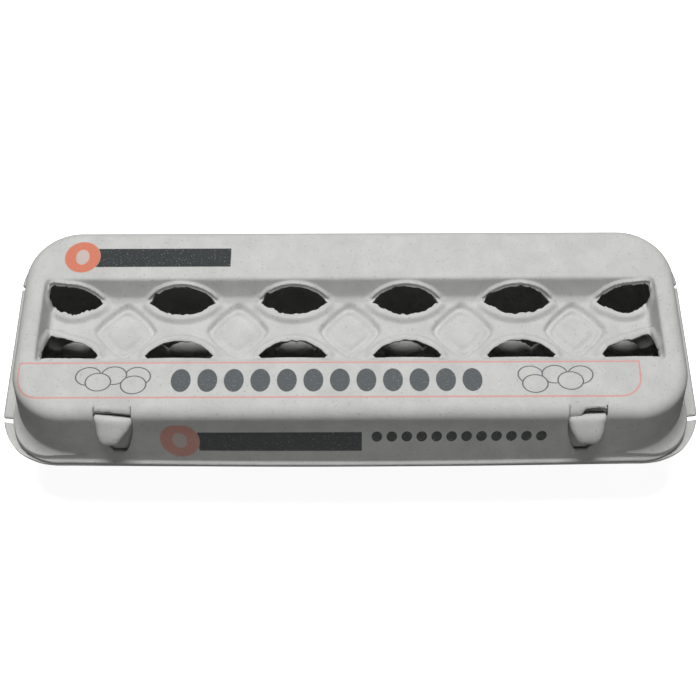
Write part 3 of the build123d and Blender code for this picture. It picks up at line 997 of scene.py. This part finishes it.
crease = {
    "hingeHalf": 116.0, "flapInset": 1.0, "thick": 0.9,
    "hingeColumns": 233, "flapColumns": 113, "turns": 13,
    "inside": 0.1, "lift": 0.15,  # the bend lies this far inside the CAD bead, and above its axis
    # the hinge's web begins in the tray and ends in the lid: from the back edge, and from the rim or foot
    "inTray": (-1.4, -1.05), "inLid": (-1.2, 1.1),
    # the flap's web from the rim: places from the axis, the first one's height from the rim
    "flapFoot": (-0.9, -0.5), "flapBend": ((-1.0, -0.2), (-0.75, 0.7)),
    "inFlap": (0.5, 0.45),  # how far it reaches up the flap, and out
}


def bendGrid(half, path, columns):
    # a path in Y and Z carried along X
    x = np.linspace(-half, half, columns)
    path = np.array(path)[:, None, :]
    flat = np.broadcast_to(path, (path.shape[0], columns, 2))
    gx = np.broadcast_to(x, flat.shape[:2])
    return np.stack([gx, flat[..., 0], flat[..., 1]], -1)


def hingePath():
    # from the tray's edge, half a circle round the outside of the hinge's axis, to the lid's edge
    radius = boxOf("hinge_crease")[1][1] - hingeAt[1] - crease["inside"]
    middleY, middleZ = hingeAt[1], hingeAt[2] + crease["lift"]
    turn = np.radians(np.linspace(-90, 90, crease["turns"]))
    arc = [(middleY + radius * math.cos(a), middleZ + radius * math.sin(a)) for a in turn]
    trayEdge = (rimHigh[1] + crease["inTray"][0], rimZ + crease["inTray"][1])
    lidEdge = (shellHigh[1] + crease["inLid"][0], lidFootZ + crease["inLid"][1])
    return [trayEdge] + arc + [lidEdge]


hingeBend = bendGrid(crease["hingeHalf"], hingePath(), crease["hingeColumns"])
hingeWeb = makePiece("hinge_crease_web", [(hingeBend, True, False, None)],
                     roughPulp, crease["thick"], None, ["hinge_crease"])
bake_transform(hingeWeb)


def flapCreasePath():
    # from the tray's rim up over the flap's axis into the flap, in straight lines
    up, out = crease["inFlap"]
    end = flapPoint(np.array(0.0), np.array(flap["root"] + up), np.array(out))
    foot = (flapAt[1] + crease["flapFoot"][0], rimZ + crease["flapFoot"][1])
    bend = [(flapAt[1] + y, flapAt[2] + z) for y, z in crease["flapBend"]]
    return [foot] + bend + [(end[1], end[2])]


flapBend = bendGrid(flap["half"] - crease["flapInset"], flapCreasePath(), crease["flapColumns"])
flapWeb = makePiece("flap_crease_web", [(flapBend, False, False, None)],
                    roughPulp, crease["thick"], None, ["flap_crease"])
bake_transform(flapWeb)
print("creases made")


# stage, light and camera

stageLook = {"floor": (0.8, 0.8, 0.8), "glow": 0.85, "world": 0.07, "reach": 40}
view = {"rise": 63.45, "from": 61.8, "distance": 465.0, "lens": 56.57, "roll": -0.2}

floorMesh = bpy.data.meshes.new("floor")
reach = stageLook["reach"]
corners = [(-reach, -reach, 0), (reach, -reach, 0), (reach, reach, 0), (-reach, reach, 0)]
floorMesh.from_pydata(corners, [], [(0, 1, 2, 3)])
floor = bpy.data.objects.new("floor", floorMesh)
bpy.context.scene.collection.objects.link(floor)
floorFinish = Finish("floor_paper")
floorFinish.set(Base_Color=(*stageLook["floor"], 1), Roughness=0.9)
floorFinish.set(Emission_Color=(1, 1, 1, 1), Emission_Strength=stageLook["glow"])
floorMesh.materials.append(floorFinish.material)
floor.visible_diffuse = False
floor.visible_glossy = False

world = bpy.data.worlds.new("studio")
bpy.context.scene.world = world
world.use_nodes = True
world.node_tree.nodes["Background"].inputs[0].default_value = (1, 1, 1, 1)
world.node_tree.nodes["Background"].inputs[1].default_value = stageLook["world"]


def addLight(name, place, size, power):
    lamp = bpy.data.lights.new(name, "AREA")
    lamp.shape = "DISK"
    lamp.size = size
    lamp.energy = power
    light = bpy.data.objects.new(name, lamp)
    light.location = place
    light.rotation_euler = (-Vector(place)).to_track_quat("-Z", "Y").to_euler()
    bpy.context.scene.collection.objects.link(light)


addLight("key", (-0.05, 0.30, 1.28), 0.6, 16.5)
addLight("fill", (0.2, -1.35, 0.95), 1.2, 3.65)

lens = bpy.data.cameras.new("camera")
lens.lens = view["lens"]
camera = bpy.data.objects.new("camera", lens)
bpy.context.scene.collection.objects.link(camera)
rise = math.radians(view["from"])
away = Vector((0, -math.cos(rise), math.sin(rise))) * view["distance"]
camera.location = (away + Vector((0, 0, topZ))) * mm
tilt = math.radians(view["rise"])
aim = Vector((0, math.cos(tilt), -math.sin(tilt))).to_track_quat("-Z", "Y").to_matrix()
camera.rotation_euler = (aim @ Matrix.Rotation(math.radians(view["roll"]), 3, "Z")).to_euler()
lens.clip_start = 0.01
bpy.context.scene.camera = camera
bpy.context.scene.view_settings.view_transform = "Standard"
print("stage, light and camera set")
